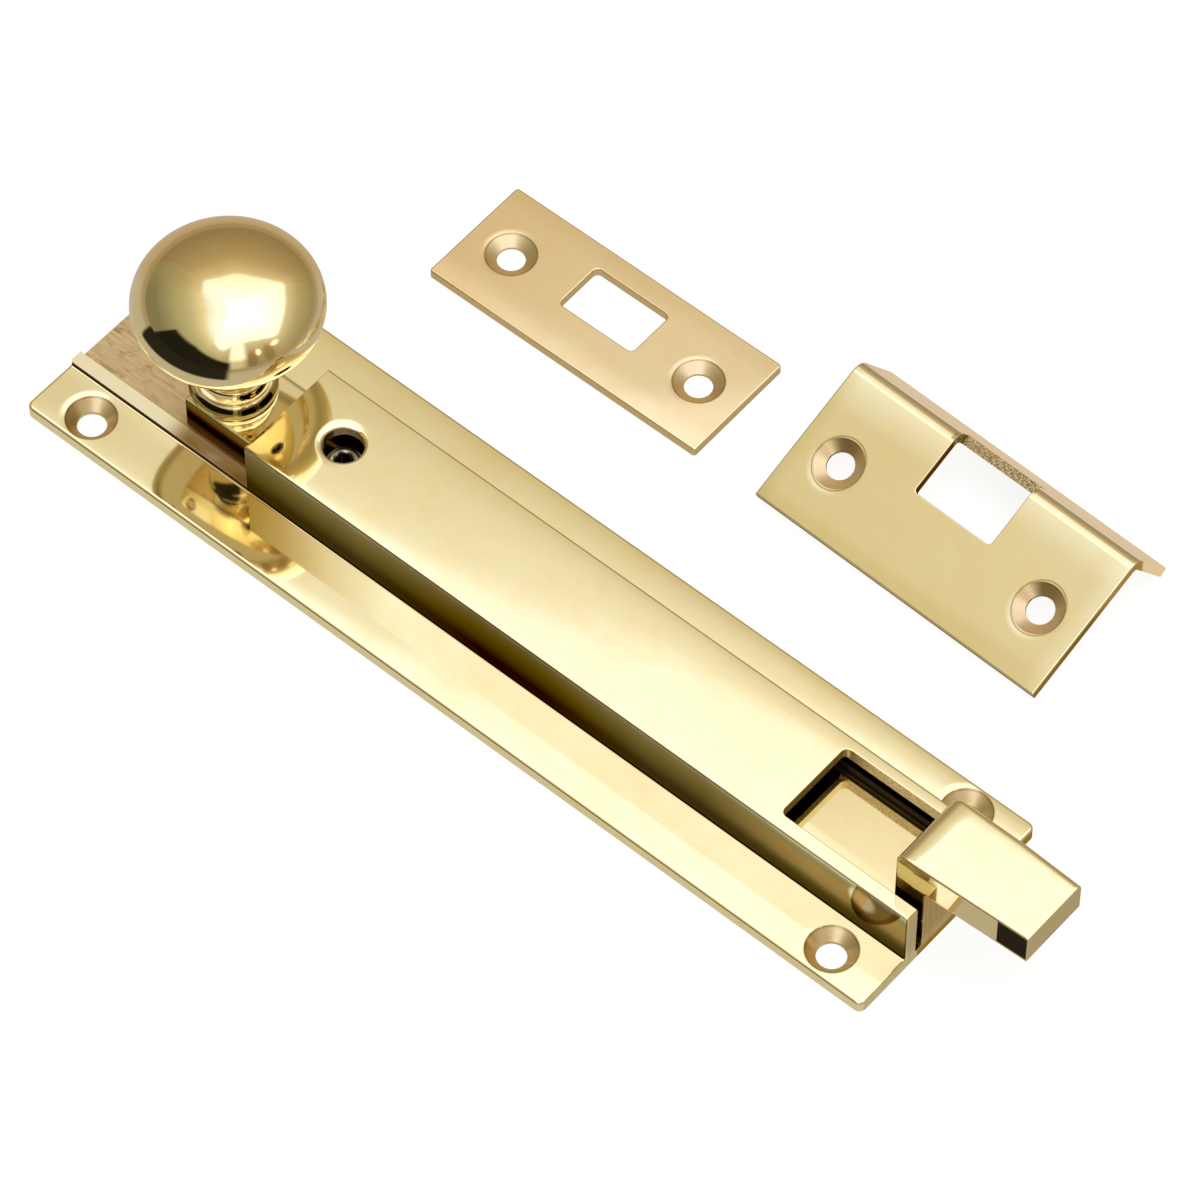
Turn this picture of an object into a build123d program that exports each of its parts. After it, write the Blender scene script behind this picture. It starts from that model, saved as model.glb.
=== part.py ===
from build123d import *
import math
import os

# Solid brass surface-mounted door bolt with a domed knob, cranked bolt head and two keeps.
# Frame: X runs along the bolt (bolt head points to +X, knob end to -X), Y across with the
# front edge at -Y, Z up from the door.
# Origin: middle of the housing's mounting face (length and width), on the door plane.
# All lengths are in millimetres, all angles in degrees.

# ------------------------------------------------------------------ housing
PLATE_LENGTH = 152.0
PLATE_WIDTH = 37.4       # over both fixing flanges
PLATE_T = 2.1            # flange thickness
PLATE_CORNER_R = 1.1     # flange corners in plan
FLANGE_EDGE_R = 0.45     # worn round of the flange's top edges

# edges of the plate, from which the places below are measured
RIGHT = PLATE_LENGTH / 2
LEFT = -RIGHT
BACK = PLATE_WIDTH / 2
FRONT = -BACK

BARREL_FRONT = FRONT + 9.35    # barrel outer faces
BARREL_BACK = FRONT + 27.1
BARREL_TOP = 12.2
BARREL_START = LEFT + 33.5     # the knob travels in front of the barrel's start
BARREL_EDGE_R = 0.4            # long top edges
BARREL_ROOT_R = 0.3            # inner corners between flange and barrel
BARREL_END_R = 0.15            # broken edges of both ends
ROOF_Z = BARREL_TOP - 1.8      # underside of the barrel's roof
CHANNEL_FRONT = FRONT + 11.5   # inner faces of the barrel
CHANNEL_BACK = FRONT + 25.3
CHANNEL_FLOOR = 1.5
CHANNEL_R = 0.4                # rounds along the channel
STUB_Z = 2.9                   # top of the wall stubs beside the open track
STUB_CUT_MARGIN = 0.35         # the milling cut is this much wider than the barrel, each side

WINDOW_START = LEFT + 128.3    # U-shaped window in the roof, open at the bolt end
WINDOW_Z0 = CHANNEL_FLOOR + 2.0
WINDOW_R = 1.0
WINDOW_EDGE_R = 0.12

STOP_X = LEFT + 43.6           # stop screw, with a round access hole in the roof above it
STOP_Y = FRONT + 18.75
ACCESS_R = 5.9 / 2
ACCESS_LIP_R = 0.55
STROKE = 17.0                  # travel of the bolt
TRACK_HALF_WIDTH = 2.1         # floor slot for the stop screw's point
TRACK_PLAY = 0.2               # at each end of the slot
TRACK_R = 2.05

HOLE_INSET_X = 8.6             # four fixing holes, measured in from the plate's edges
HOLE_INSET_Y = 4.35
HOLE_D = 4.3
CSK_D = 7.5
CSK_LIP_R = 0.18               # lips of all the countersinks

# ------------------------------------------------------------------ bolt
BAR_FRONT = FRONT + 12.65
BAR_BACK = FRONT + 25.15
BAR_MID_Y = (BAR_FRONT + BAR_BACK) / 2
BAR_START = LEFT + 19.0
BAR_END = RIGHT
BAR_Z0 = 1.6
BAR_Z1 = 7.4
BAR_CHAMFER = 0.25             # edges of the knob end

RISER_START = LEFT + 147.0     # upright that carries the head through the window
RISER_FOOT_R = 0.6
HEAD_END = LEFT + 168.65
HEAD_Z0 = 14.4
HEAD_Z1 = 19.75
HEAD_TIP_FRONT = FRONT + 13.4  # the head narrows in plan towards its tip
HEAD_TIP_BACK = FRONT + 24.75
FRONT_TAPER_X = RISER_START + 3.0    # where each side starts to narrow
BACK_TAPER_X = RISER_START + 12.0
HEAD_HEEL_R = 1.7              # top of the head, above the riser
HEAD_THROAT_R = 0.5            # inner corner under the head
HEAD_TOP_BACK_R = 0.9
HEAD_TOP_FRONT_R = 0.25
HEAD_TIP_R = 0.16
HEAD_UNDER_R = 0.15

# ------------------------------------------------------------------ knob, collar and screws
KNOB_X = LEFT + 22.7
KNOB_Y = BAR_MID_Y
COLLAR_R = 6.35
COLLAR_T = 2.3
KNOB_Z0 = BAR_Z1 + COLLAR_T
KNOB_FOOT_R = 5.45
KNOB_FOOT_T = 1.35
KNOB_NECK_R = 3.9
KNOB_R = 13.65                 # domed head of the knob
KNOB_WIDEST_Z = 26.4           # height of its widest circle
KNOB_UP = 8.9                  # dome above the widest circle
KNOB_DOWN = 8.0                # scale of the underside below it
BELLY_POWER = 0.94             # under 1 makes the underside fuller than an ellipse
BELLY_STEPS = 10
DOME_STEPS = 16
KNOB_BORE_DEPTH = 9.0
KNOB_BORE_TIP = 0.8            # height of the bore's conical end

SCREW_R = 5.0 / 2              # knob screw, M5 countersunk
SCREW_HEAD_R = 9.2 / 2
SCREW_HEAD_T = SCREW_HEAD_R - SCREW_R
SCREW_CLEARANCE = 0.1          # on the radius, in the bar and the collar
SCREW_Z0 = BAR_Z0 + 0.05
SCREW_REACH = 7.6              # into the knob
SCREW_CHAMFER = 0.5
RECESS_LENGTH = 4.6            # cross recess
RECESS_WIDTH = 1.0
RECESS_DEPTH = 1.7

THREAD_PLAY = 0.03             # on the radius, in the tapped holes
STOP_R = 5.0 / 2               # stop screw, M5 socket set screw with a dog point
STOP_TOP = 8.5
STOP_CHAMFER = 0.35
DOG_R = 3.5 / 2
DOG_Z0 = 0.35
DOG_Z1 = BAR_Z0 + 0.3
DOG_CHAMFER = 0.25
SOCKET_ACROSS = 2.5            # hexagon across flats
SOCKET_DEPTH = 2.6
SOCKET_MOUTH_R = 1.6           # conical mouth of the socket
SOCKET_MOUTH_DEPTH = 0.35

# ------------------------------------------------------------------ leaf spring and rivets
SPRING_X = LEFT + 90.0         # middle of the bowed spring on top of the bar
SPRING_LENGTH = 56.0
SPRING_WIDTH = 8.0
SPRING_T = 0.45
SPRING_Z0 = BAR_Z1 + 0.01
SPRING_TOP = ROOF_Z - 0.08     # highest point
SPRING_END_DROP = 0.25         # the tips turn down by this
SPRING_END_SLOPE = 0.22
SPRING_FLAT_MARGIN = 2.6       # flat part beyond each rivet
RIVET_PITCH = 7.0
RIVET_X = (SPRING_X - RIVET_PITCH / 2, SPRING_X + RIVET_PITCH / 2)
RIVET_R = 2.0 / 2
RIVET_PLAY = 0.02              # on the radius
RIVET_HOLE_DEPTH = 3.0
RIVET_DEPTH = 2.9
RIVET_HEAD_R = 3.4 / 2
RIVET_HEAD_T = 0.6
RIVET_HEAD_ROUND = 0.4

# ------------------------------------------------------------------ keeps, each from its corner
KEEP_HOLE_D = 4.2
KEEP_CSK_D = 7.6
KEEP_CSK_DEPTH = 1.1
KEEP_EDGE_R = 0.25             # worn outer edges of the face

MORTICE_LENGTH = 49.2          # flat mortice keep
MORTICE_WIDTH = 19.4
MORTICE_T = 1.5
MORTICE_CORNER_R = 0.5
MORTICE_SLOT_X = (18.0, 31.5)
MORTICE_SLOT_Y = (7.4, 15.8)
MORTICE_SLOT_R = 0.9
MORTICE_SLOT_EDGE_R = 0.2
MORTICE_HOLE_INSET = 7.2
MORTICE_HOLE_Y = 9.6
MORTICE_POS = (LEFT + 27.2, FRONT + 55.1)   # front left corner
MORTICE_TURN = 0.4             # about Z

RIM_LENGTH = 50.6              # angled rim keep
RIM_WIDTH = 23.8
RIM_LIP = 11.8
RIM_T = 1.5
RIM_SPLAY = 13.5               # angle by which the lip opens past square
RIM_TILT = 22.5                # lying on its front edge and on the end of its lip
RIM_BEND_R = 2.3               # outer radius of the bend
RIM_SLOT_X = (18.5, 32.2)
RIM_SLOT_Y0 = 13.3
RIM_SLOT_DROP = 3.2            # how far below the face the slot runs down the lip
RIM_SLOT_R = 0.6
RIM_SLOT_EDGE_R = 0.15
RIM_HOLE_INSET = 7.1
RIM_HOLE_Y = 10.3
RIM_POS = (LEFT + 87.5, FRONT + 55.35)      # front left corner on the floor
RIM_TURN = -1.5                # about Z

OVER = 1.0                     # cutters run past the material by this
RIM_CUT_REACH = 30.0           # far sides of the rim keep's slot cutter


# ------------------------------------------------------------------ helpers
def block(x0, x1, y0, y1, z0, z1):
    """Box between two corners."""
    return Pos((x0 + x1) / 2, (y0 + y1) / 2, (z0 + z1) / 2) * Box(x1 - x0, y1 - y0, z1 - z0)


def rod(x, y, radius, z0, z1):
    return Pos(x, y, (z0 + z1) / 2) * Cylinder(radius, z1 - z0)


def taper(x, y, radius0, radius1, z0, z1):
    """Cone from radius0 at z0 to radius1 at z1."""
    return Pos(x, y, (z0 + z1) / 2) * Cone(radius0, radius1, z1 - z0)


def lines(points):
    """Straight edges from each point to the next."""
    return [Line(start, end) for start, end in zip(points, points[1:])]


def near(value, target, tol=0.02):
    return abs(value - target) < tol


def pick(edges, test):
    """The edges whose centre passes the test."""
    return [edge for edge in edges if test(edge.center())]


def longer(shape, length):
    return [edge for edge in shape.edges() if edge.length > length]


def circles_at(shape, z, radius, tol=0.02):
    return [edge for edge in shape.edges()
            if edge.geom_type == GeomType.CIRCLE
            and near(edge.center().Z, z, tol) and near(edge.radius, radius, tol)]


def round_off(shape, edges, radius):
    """Rounds the edges together, or one at a time where a corner is too tight for all."""
    if not edges:
        return shape
    # guards against a joint fillet that the kernel cannot build
    try:
        return fillet(edges, radius)
    except Exception:
        pass
    for centre in [edge.center() for edge in edges]:
        found = pick(shape.edges(), lambda other: (other - centre).length < 0.05)
        # an edge that cannot be rounded, or is gone, is left as it is
        try:
            shape = fillet(found, radius)
        except Exception:
            pass
    return shape


def drill_countersunk(shape, centres, top, thickness, hole_d, csk_d, depth):
    """Countersunk through holes from the face at z = top, with rounded lips."""
    for x, y in centres:
        shape = shape - rod(x, y, hole_d / 2, top - thickness - OVER, top + OVER)
        shape = shape - taper(x, y, hole_d / 2, csk_d / 2, top - depth, top)
        # a hair of straight wall, so that the lip is a clean circle
        shape = shape - rod(x, y, csk_d / 2, top - 0.0005, top + OVER)
    return round_off(shape, circles_at(shape, top, csk_d / 2, 0.005), CSK_LIP_R)


def write(name, *shapes):
    solids = [solid for shape in shapes for solid in shape.solids()]
    out = solids[0] if len(solids) == 1 else Compound(children=solids)
    out.label = name
    export_step(out, f"parts/{name}.step")


# ------------------------------------------------------------------ body
def make_profile():
    """Extruded section of flanges and barrel, with its outer edges rounded."""
    section = [
        (FRONT, 0), (BACK, 0), (BACK, PLATE_T), (BARREL_BACK, PLATE_T),
        (BARREL_BACK, BARREL_TOP), (BARREL_FRONT, BARREL_TOP),
        (BARREL_FRONT, PLATE_T), (FRONT, PLATE_T),
    ]
    wire = Polyline(*[Vector(LEFT, y, z) for y, z in section], close=True)
    body = extrude(make_face(wire), amount=PLATE_LENGTH, dir=(1, 0, 0))

    plan_corners = pick(body.edges().filter_by(Axis.Z),
                        lambda c: near(abs(c.X), RIGHT) and near(abs(c.Y), BACK))
    body = fillet(plan_corners, PLATE_CORNER_R)

    barrel_tops = pick(body.edges().filter_by(Axis.X), lambda c: near(c.Z, BARREL_TOP))
    body = fillet(barrel_tops, BARREL_EDGE_R)

    roots = pick(body.edges().filter_by(Axis.X),
                 lambda c: near(c.Z, PLATE_T)
                 and (near(c.Y, BARREL_FRONT) or near(c.Y, BARREL_BACK)))
    body = fillet(roots, BARREL_ROOT_R)

    # outer top edges of the flanges, with the arcs of the plan corners
    corner_x = RIGHT - PLATE_CORNER_R - 0.01
    corner_y = BACK - PLATE_CORNER_R - 0.01
    rim = pick(body.edges(),
               lambda c: near(c.Z, PLATE_T)
               and (near(abs(c.Y), BACK) or near(abs(c.X), RIGHT)
                    or (abs(c.X) > corner_x and abs(c.Y) > corner_y)))
    # guards against the whole rim failing; then only the long edges are rounded
    try:
        return fillet(rim, FLANGE_EDGE_R)
    except Exception:
        return fillet(pick(rim, lambda c: near(abs(c.Y), BACK)), FLANGE_EDGE_R)


def make_body():
    body = make_profile()

    channel = block(LEFT - OVER, RIGHT + OVER, CHANNEL_FRONT, CHANNEL_BACK,
                    CHANNEL_FLOOR, ROOF_Z)
    body = body - fillet(channel.edges().filter_by(Axis.X), CHANNEL_R)

    # the barrel is milled away at the knob end, leaving low stubs of its walls
    body = body - block(LEFT - OVER, BARREL_START,
                        BARREL_FRONT - STUB_CUT_MARGIN, BARREL_BACK + STUB_CUT_MARGIN,
                        STUB_Z, BARREL_TOP + OVER)

    window = block(WINDOW_START, RIGHT + OVER, CHANNEL_FRONT, CHANNEL_BACK,
                   WINDOW_Z0, BARREL_TOP + OVER)
    inner_corners = pick(window.edges().filter_by(Axis.Z), lambda c: near(c.X, WINDOW_START))
    body = body - fillet(inner_corners, WINDOW_R)

    # access hole with a rounded lip
    body = body - rod(STOP_X, STOP_Y, ACCESS_R, ROOF_Z - OVER, BARREL_TOP + OVER)
    body = fillet(circles_at(body, BARREL_TOP, ACCESS_R), ACCESS_LIP_R)

    centres = [(x, y) for x in (LEFT + HOLE_INSET_X, RIGHT - HOLE_INSET_X)
               for y in (FRONT + HOLE_INSET_Y, BACK - HOLE_INSET_Y)]
    body = drill_countersunk(body, centres, top=PLATE_T, thickness=PLATE_T,
                             hole_d=HOLE_D, csk_d=CSK_D, depth=(CSK_D - HOLE_D) / 2)

    # broken edges of the window, of the barrel's start and of its bolt end
    window_edges = pick(body.edges(),
                        lambda c: near(c.Z, BARREL_TOP, 0.01) and c.X > WINDOW_START - 0.1
                        and CHANNEL_FRONT - 0.1 < c.Y < CHANNEL_BACK + 0.1)
    body = round_off(body, window_edges, WINDOW_EDGE_R)
    start_edges = pick(body.edges(),
                       lambda c: near(c.X, BARREL_START, 0.01) and c.Z > STUB_Z + 1)
    body = round_off(body, start_edges, BARREL_END_R)
    end_edges = pick(body.edges(), lambda c: near(c.X, RIGHT, 0.01) and c.Z > PLATE_T + 2)
    body = round_off(body, end_edges, BARREL_END_R)

    # slot in the floor that the stop screw's point runs in
    reach = TRACK_HALF_WIDTH + TRACK_PLAY
    track = block(STOP_X - STROKE - reach, STOP_X + reach,
                  STOP_Y - TRACK_HALF_WIDTH, STOP_Y + TRACK_HALF_WIDTH,
                  -OVER, CHANNEL_FLOOR + OVER)
    return body - fillet(track.edges().filter_by(Axis.Z), TRACK_R)


# ------------------------------------------------------------------ bar, riser and head in one
def make_bolt():
    # side view of the crank, extruded across, then trimmed to the plan outline
    heel_x = RISER_START + HEAD_HEEL_R
    heel_z = HEAD_Z1 - HEAD_HEEL_R
    heel_mid = HEAD_HEEL_R * math.sin(math.pi / 4)
    under = [(BAR_START, 0, BAR_Z0), (BAR_END, 0, BAR_Z0), (BAR_END, 0, HEAD_Z0),
             (HEAD_END, 0, HEAD_Z0), (HEAD_END, 0, HEAD_Z1), (heel_x, 0, HEAD_Z1)]
    heel = ThreePointArc((heel_x, 0, HEAD_Z1),
                         (heel_x - heel_mid, 0, heel_z + heel_mid),
                         (RISER_START, 0, heel_z))
    over = [(RISER_START, 0, heel_z), (RISER_START, 0, BAR_Z1),
            (BAR_START, 0, BAR_Z1), (BAR_START, 0, BAR_Z0)]
    side = make_face(Wire(lines(under) + [heel] + lines(over)))
    crank = extrude(side, amount=60, dir=(0, 1, 0), both=True)
    tip_x = HEAD_END + 0.001
    plan = Polyline((BAR_START - OVER, BAR_FRONT), (FRONT_TAPER_X, BAR_FRONT),
                    (tip_x, HEAD_TIP_FRONT), (tip_x, HEAD_TIP_BACK),
                    (BACK_TAPER_X, BAR_BACK), (BAR_START - OVER, BAR_BACK), close=True)
    bolt = crank & extrude(make_face(plan), amount=40)

    # inner corners under the head and at the riser's foot
    for x, z, radius in ((BAR_END, HEAD_Z0, HEAD_THROAT_R), (RISER_START, BAR_Z1, RISER_FOOT_R)):
        corner = pick(bolt.edges().filter_by(Axis.Y),
                      lambda c: near(c.X, x, 0.05) and near(c.Z, z, 0.05))
        bolt = fillet(corner, radius)

    # long edges of the head's top, then its tip and its underside
    top_back = pick(longer(bolt, 5),
                    lambda c: near(c.Z, HEAD_Z1, 0.05) and c.Y > BAR_MID_Y + 3)
    bolt = round_off(bolt, top_back, HEAD_TOP_BACK_R)
    top_front = pick(longer(bolt, 10),
                     lambda c: near(c.Z, HEAD_Z1, 0.05) and c.Y < BAR_MID_Y - 3)
    bolt = round_off(bolt, top_front, HEAD_TOP_FRONT_R)
    bolt = round_off(bolt, pick(bolt.edges(), lambda c: near(c.X, HEAD_END)), HEAD_TIP_R)
    underside = pick(longer(bolt, 5), lambda c: near(c.Z, HEAD_Z0, 0.05))
    bolt = round_off(bolt, underside, HEAD_UNDER_R)
    bolt = chamfer(pick(bolt.edges(), lambda c: near(c.X, BAR_START)), BAR_CHAMFER)

    # hole for the stop screw; clearance hole and countersink for the knob screw
    clear_r = SCREW_R + SCREW_CLEARANCE
    bolt = bolt - rod(STOP_X, STOP_Y, STOP_R + THREAD_PLAY, BAR_Z0 - OVER, BAR_Z1 + OVER)
    bolt = bolt - rod(KNOB_X, KNOB_Y, clear_r, BAR_Z0 - OVER, BAR_Z1 + OVER)
    bolt = bolt - taper(KNOB_X, KNOB_Y, SCREW_HEAD_R + SCREW_CLEARANCE, clear_r,
                        BAR_Z0, BAR_Z0 + SCREW_HEAD_T)
    for x in RIVET_X:
        bolt = bolt - rod(x, STOP_Y, RIVET_R + RIVET_PLAY,
                          BAR_Z1 - RIVET_HOLE_DEPTH, BAR_Z1 + OVER)
    return bolt


# ------------------------------------------------------------------ knob, collar and screws
def make_knob():
    # underside of the head, from the neck out to the widest circle: (radius, z)
    start = math.acos((KNOB_NECK_R + 0.4) / KNOB_R)
    angles = [-start + start * i / BELLY_STEPS for i in range(BELLY_STEPS + 1)]
    belly = [(KNOB_R * math.cos(angle) ** BELLY_POWER,
              KNOB_WIDEST_Z + KNOB_DOWN * math.sin(angle)) for angle in angles]
    # dome above it, a quarter of an ellipse that ends exactly on the axis
    apex = (0.0, KNOB_WIDEST_Z + KNOB_UP)
    angles = [math.pi / 2 * i / DOME_STEPS for i in range(DOME_STEPS)]
    dome = [(KNOB_R * math.cos(angle), KNOB_WIDEST_Z + KNOB_UP * math.sin(angle))
            for angle in angles] + [apex]

    foot_r = KNOB_FOOT_R - 0.25
    foot_top = KNOB_Z0 + KNOB_FOOT_T
    bore_r = SCREW_R + THREAD_PLAY
    bore_top = KNOB_Z0 + KNOB_BORE_DEPTH
    with BuildSketch(Plane.XZ) as profile:
        with BuildLine():
            Polyline((bore_r, KNOB_Z0), (foot_r, KNOB_Z0))
            ThreePointArc((foot_r, KNOB_Z0), (KNOB_FOOT_R + 0.1, KNOB_Z0 + KNOB_FOOT_T / 2),
                          (foot_r, foot_top))
            # waisted neck
            Spline((foot_r, foot_top), (KNOB_NECK_R + 0.25, foot_top + 1.3),
                   (KNOB_NECK_R, (foot_top + belly[0][1]) / 2 + 0.3), belly[0],
                   tangents=[(-1, 0.15), (0.75, 1.0)])
            Spline(*belly, tangents=[(1.0, 0.12), (0, 1)])
            Spline(*dome, tangents=[(0, 1), (-1, 0)])
            Polyline(apex, (0, bore_top + KNOB_BORE_TIP), (bore_r, bore_top), (bore_r, KNOB_Z0))
        make_face()
    return Pos(KNOB_X, KNOB_Y, 0) * revolve(profile.sketch, Axis.Z)


def make_collar():
    bore_r = SCREW_R + SCREW_CLEARANCE
    bevel = 0.35
    band_top = BAR_Z1 + 0.95
    shoulder_r = KNOB_FOOT_R + 0.15
    with BuildSketch(Plane.XZ) as profile:
        with BuildLine():
            Polyline((bore_r, BAR_Z1), (COLLAR_R - bevel, BAR_Z1), (COLLAR_R, BAR_Z1 + bevel))
            Line((COLLAR_R, BAR_Z1 + bevel), (COLLAR_R, band_top))
            ThreePointArc((COLLAR_R, band_top), (COLLAR_R - 0.28, BAR_Z1 + 1.75),
                          (shoulder_r, KNOB_Z0))
            Polyline((shoulder_r, KNOB_Z0), (bore_r, KNOB_Z0), (bore_r, BAR_Z1))
        make_face()
    return Pos(KNOB_X, KNOB_Y, 0) * revolve(profile.sketch, Axis.Z)


def make_knob_screw():
    top = KNOB_Z0 + SCREW_REACH
    screw = rod(KNOB_X, KNOB_Y, SCREW_R, SCREW_Z0, top)
    screw = screw + taper(KNOB_X, KNOB_Y, SCREW_HEAD_R, SCREW_R,
                          SCREW_Z0, SCREW_Z0 + SCREW_HEAD_T)
    screw = chamfer(circles_at(screw, top, SCREW_R), SCREW_CHAMFER)
    # cross recess, as two crossed slots
    recess_z = SCREW_Z0 + RECESS_DEPTH / 2 - 0.01
    for angle in (0, 90):
        slot = Box(RECESS_LENGTH, RECESS_WIDTH, RECESS_DEPTH)
        screw = screw - Pos(KNOB_X, KNOB_Y, recess_z) * Rot(0, 0, angle) * slot
    return screw


def make_stop_screw():
    screw = rod(STOP_X, STOP_Y, STOP_R, DOG_Z1, STOP_TOP)
    screw = screw + rod(STOP_X, STOP_Y, DOG_R, DOG_Z0, DOG_Z1)
    screw = chamfer(circles_at(screw, STOP_TOP, STOP_R), STOP_CHAMFER)
    screw = chamfer(circles_at(screw, DOG_Z0, DOG_R), DOG_CHAMFER)
    hexagon = RegularPolygon(SOCKET_ACROSS / math.sqrt(3.0), 6)
    screw = screw - extrude(Pos(STOP_X, STOP_Y, STOP_TOP - SOCKET_DEPTH) * hexagon,
                            SOCKET_DEPTH + OVER)
    return screw - taper(STOP_X, STOP_Y, SOCKET_ACROSS / 2, SOCKET_MOUTH_R,
                         STOP_TOP - SOCKET_MOUTH_DEPTH, STOP_TOP + 0.001)


# ------------------------------------------------------------------ leaf spring and its rivets
def make_spring():
    # underside of the left half, from the tip to the flat at the rivets: (x, z)
    tip_x = SPRING_X - SPRING_LENGTH / 2
    flat_x = RIVET_X[0] - SPRING_FLAT_MARGIN
    crest_z = SPRING_TOP - SPRING_T
    half = [
        (tip_x, crest_z - SPRING_END_DROP), (tip_x + 2.5, crest_z),
        (tip_x + 10.5, SPRING_Z0 + 1.25), (flat_x - 3.0, SPRING_Z0 + 0.12), (flat_x, SPRING_Z0),
    ]
    mirrored = [(2 * SPRING_X - x, z) for x, z in reversed(half)]

    def raised(points, height):
        return [Vector(x, 0, z + height) for x, z in points]

    left_under, right_under = raised(half, 0), raised(mirrored, 0)
    left_top, right_top = raised(half, SPRING_T), raised(mirrored, SPRING_T)
    slope = SPRING_END_SLOPE
    outline = [
        Spline(*left_under, tangents=[(1, 0, slope), (1, 0, 0)]),
        Line(left_under[-1], right_under[0]),
        Spline(*right_under, tangents=[(1, 0, 0), (1, 0, -slope)]),
        Line(right_under[-1], right_top[-1]),
        Spline(*reversed(right_top), tangents=[(-1, 0, slope), (-1, 0, 0)]),
        Line(right_top[0], left_top[-1]),
        Spline(*reversed(left_top), tangents=[(-1, 0, 0), (-1, 0, -slope)]),
        Line(left_top[0], left_under[0]),
    ]
    face = make_face(Wire(outline))
    spring = extrude(face, amount=SPRING_WIDTH / 2, dir=(0, 1, 0), both=True)
    spring = Pos(0, STOP_Y, 0) * spring
    for x in RIVET_X:
        spring = spring - rod(x, STOP_Y, RIVET_R + RIVET_PLAY, BAR_Z1 - OVER, BAR_Z1 + OVER)
    return spring


def make_rivet(x):
    head_z0 = SPRING_Z0 + SPRING_T + 0.01
    head_z1 = head_z0 + RIVET_HEAD_T
    shank = rod(x, STOP_Y, RIVET_R, BAR_Z1 - RIVET_DEPTH, head_z0 + 0.1)
    head = rod(x, STOP_Y, RIVET_HEAD_R, head_z0, head_z1)
    head = fillet(circles_at(head, head_z1, RIVET_HEAD_R), RIVET_HEAD_ROUND)
    return shank + head


# ------------------------------------------------------------------ keeps
def drill_keep(keep, length, inset, y, top, thickness):
    """Two countersunk holes, one near each end."""
    return drill_countersunk(keep, [(inset, y), (length - inset, y)], top, thickness,
                             KEEP_HOLE_D, KEEP_CSK_D, KEEP_CSK_DEPTH)


def make_mortice_keep():
    keep = block(0, MORTICE_LENGTH, 0, MORTICE_WIDTH, 0, MORTICE_T)
    keep = fillet(keep.edges().filter_by(Axis.Z), MORTICE_CORNER_R)
    keep = fillet(pick(keep.edges(), lambda c: near(c.Z, MORTICE_T)), KEEP_EDGE_R)
    x0, x1 = MORTICE_SLOT_X
    y0, y1 = MORTICE_SLOT_Y
    slot = block(x0, x1, y0, y1, -OVER, MORTICE_T + OVER)
    keep = keep - fillet(slot.edges().filter_by(Axis.Z), MORTICE_SLOT_R)
    keep = drill_keep(keep, MORTICE_LENGTH, MORTICE_HOLE_INSET, MORTICE_HOLE_Y,
                      top=MORTICE_T, thickness=MORTICE_T)
    slot_edges = pick(keep.edges(),
                      lambda c: near(c.Z, MORTICE_T, 0.005)
                      and x0 - 0.1 < c.X < x1 + 0.1 and y0 - 0.1 < c.Y < y1 + 0.1)
    keep = round_off(keep, slot_edges, MORTICE_SLOT_EDGE_R)
    return Pos(*MORTICE_POS, 0) * Rot(0, 0, MORTICE_TURN) * keep


def make_rim_keep():
    # folded strip, modelled with the outer side of its face on z = 0 and the lip going down
    fold = math.radians(90.0 - RIM_SPLAY)
    setback = RIM_BEND_R * math.tan(fold / 2)
    bend_y = RIM_WIDTH - setback
    inner_r = RIM_BEND_R - RIM_T

    def on_bend(radius, angle):
        return Vector(0, bend_y + radius * math.sin(angle),
                      -RIM_BEND_R + radius * math.cos(angle))

    lip = Vector(0, math.cos(fold), -math.sin(fold)) * (RIM_LIP - setback)
    outer_end = on_bend(RIM_BEND_R, fold)
    inner_end = on_bend(inner_r, fold)
    bend_outer = Vector(0, bend_y, 0)
    bend_inner = Vector(0, bend_y, -RIM_T)
    outline = [
        Line(Vector(0, 0, 0), bend_outer),
        ThreePointArc(bend_outer, on_bend(RIM_BEND_R, fold / 2), outer_end),
        *lines([outer_end, outer_end + lip, inner_end + lip, inner_end]),
        ThreePointArc(inner_end, on_bend(inner_r, fold / 2), bend_inner),
        *lines([bend_inner, Vector(0, 0, -RIM_T), Vector(0, 0, 0)]),
    ]
    keep = extrude(make_face(Wire(outline)), amount=RIM_LENGTH, dir=(1, 0, 0))

    # slot through the face, the bend and the top of the lip
    x0, x1 = RIM_SLOT_X
    slot = block(x0, x1, RIM_SLOT_Y0, RIM_CUT_REACH, -RIM_SLOT_DROP, RIM_CUT_REACH)
    slot_corners = pick(slot.edges().filter_by(Axis.Z), lambda c: near(c.Y, RIM_SLOT_Y0))
    keep = keep - fillet(slot_corners, RIM_SLOT_R)
    keep = drill_keep(keep, RIM_LENGTH, RIM_HOLE_INSET, RIM_HOLE_Y, top=0, thickness=RIM_T)

    # worn front and end edges of the face, then those of the slot
    face_edges = pick(keep.edges().filter_by(GeomType.LINE),
                      lambda c: near(c.Z, 0, 0.005)
                      and (c.Y < 0.1 or c.X < 0.1 or c.X > RIM_LENGTH - 0.1))
    keep = round_off(keep, face_edges, KEEP_EDGE_R)
    slot_edges = pick(keep.edges(),
                      lambda c: near(c.Z, 0, 0.005) and x0 - 0.1 < c.X < x1 + 0.1
                      and RIM_SLOT_Y0 - 0.1 < c.Y < RIM_WIDTH - 2.5)
    keep = round_off(keep, slot_edges, RIM_SLOT_EDGE_R)

    # lay it down on the front edge of the face and the end of the lip
    keep = Rot(RIM_TILT, 0, 0) * keep
    lowest = keep.bounding_box().min.Z
    return Pos(*RIM_POS, -lowest) * Rot(0, 0, RIM_TURN) * keep


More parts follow.
